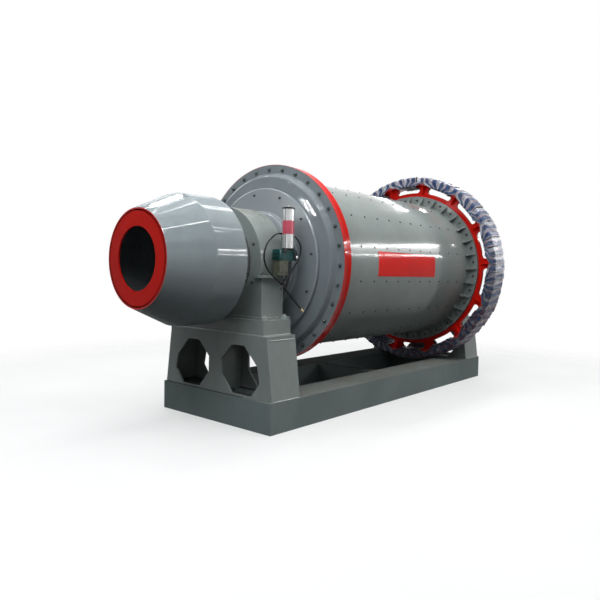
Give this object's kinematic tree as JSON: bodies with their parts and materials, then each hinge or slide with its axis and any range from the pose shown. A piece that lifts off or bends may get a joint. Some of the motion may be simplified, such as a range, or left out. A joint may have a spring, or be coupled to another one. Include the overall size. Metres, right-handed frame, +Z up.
{
  "type": "ball mill",
  "caption": "Horizontal ball mill: a drum on hollow trunnions turns in two pedestal bearings, with a feeder drum at one end and a wrapped girth gear at the other, on a base frame.",
  "frame": {"origin": "centre of the mill's length and width, on the underside of the base frame", "axes": "+X along the mill axis from the feed end to the discharge end, +Y away from the pictured long side, +Z up"},
  "size_m": [5.65, 2.6738, 2.935],
  "materials": {
    "grey_paint": "glossy medium grey enamel, slightly greenish",
    "red_paint": "glossy signal red enamel",
    "machined_steel": "turned steel casting",
    "bearing_metal": "cast bearing lining",
    "gear_steel": "machined cast steel gear rim",
    "woven_plastic": "blue, white and red striped woven plastic strips wound round the rim",
    "green_paint": "teal green enamel",
    "bright_steel": "bright metal cylinder",
    "hose_rubber": "black grease hose",
    "brass": "plated hose end fitting"
  },
  "bodies": {
    "mill_base": {"base_cross_beam_discharge": "grey_paint", "base_cross_beam_feed": "grey_paint", "base_cross_beam_middle": "grey_paint", "base_end_beam_discharge": "grey_paint", "base_end_beam_feed": "grey_paint", "base_side_beam_far": "grey_paint", "base_side_beam_near": "grey_paint", "discharge_bearing_block": "grey_paint", "discharge_bearing_bush": "bearing_metal", "discharge_bearing_cap": "grey_paint", "discharge_bearing_housing": "grey_paint", "discharge_pedestal_back_plate": "grey_paint", "discharge_pedestal_front_plate": "grey_paint", "discharge_pedestal_side_plates": "grey_paint", "discharge_pedestal_top_plate": "grey_paint", "feed_bearing_block": "grey_paint", "feed_bearing_bush": "bearing_metal", "feed_bearing_cap": "grey_paint", "feed_bearing_housing": "grey_paint", "feed_pedestal_back_plate": "grey_paint", "feed_pedestal_front_plate": "grey_paint", "feed_pedestal_side_plates": "grey_paint", "feed_pedestal_top_plate": "grey_paint", "grease_hose": "hose_rubber", "grease_hose_fitting": "brass", "grease_hose_short": "hose_rubber", "grease_hose_short_fitting": "brass", "grease_pump_body": "green_paint", "grease_pump_bracket": "grey_paint", "grease_pump_reservoir": "bright_steel"},
    "mill_drum": {"discharge_head": "grey_paint", "discharge_shell_flange": "grey_paint", "discharge_spout": "grey_paint", "discharge_trunnion": "machined_steel", "drum_shell": "grey_paint", "feed_head": "grey_paint", "feed_shell_flange": "red_paint", "feed_trunnion": "machined_steel", "feeder_cone": "grey_paint", "feeder_drum": "grey_paint", "feeder_mouth_ring": "red_paint", "gear_rim": "gear_steel", "gear_web": "red_paint", "gear_wrap": "woven_plastic", "manhole_cover": "grey_paint"}
  },
  "joints": [
    {"name": "mill_spin", "type": "hinge", "parent": "mill_base", "child": "mill_drum", "pos_m": [0, 0, 1.598], "axis": [1, 0, 0], "continuous": true}
  ]
}
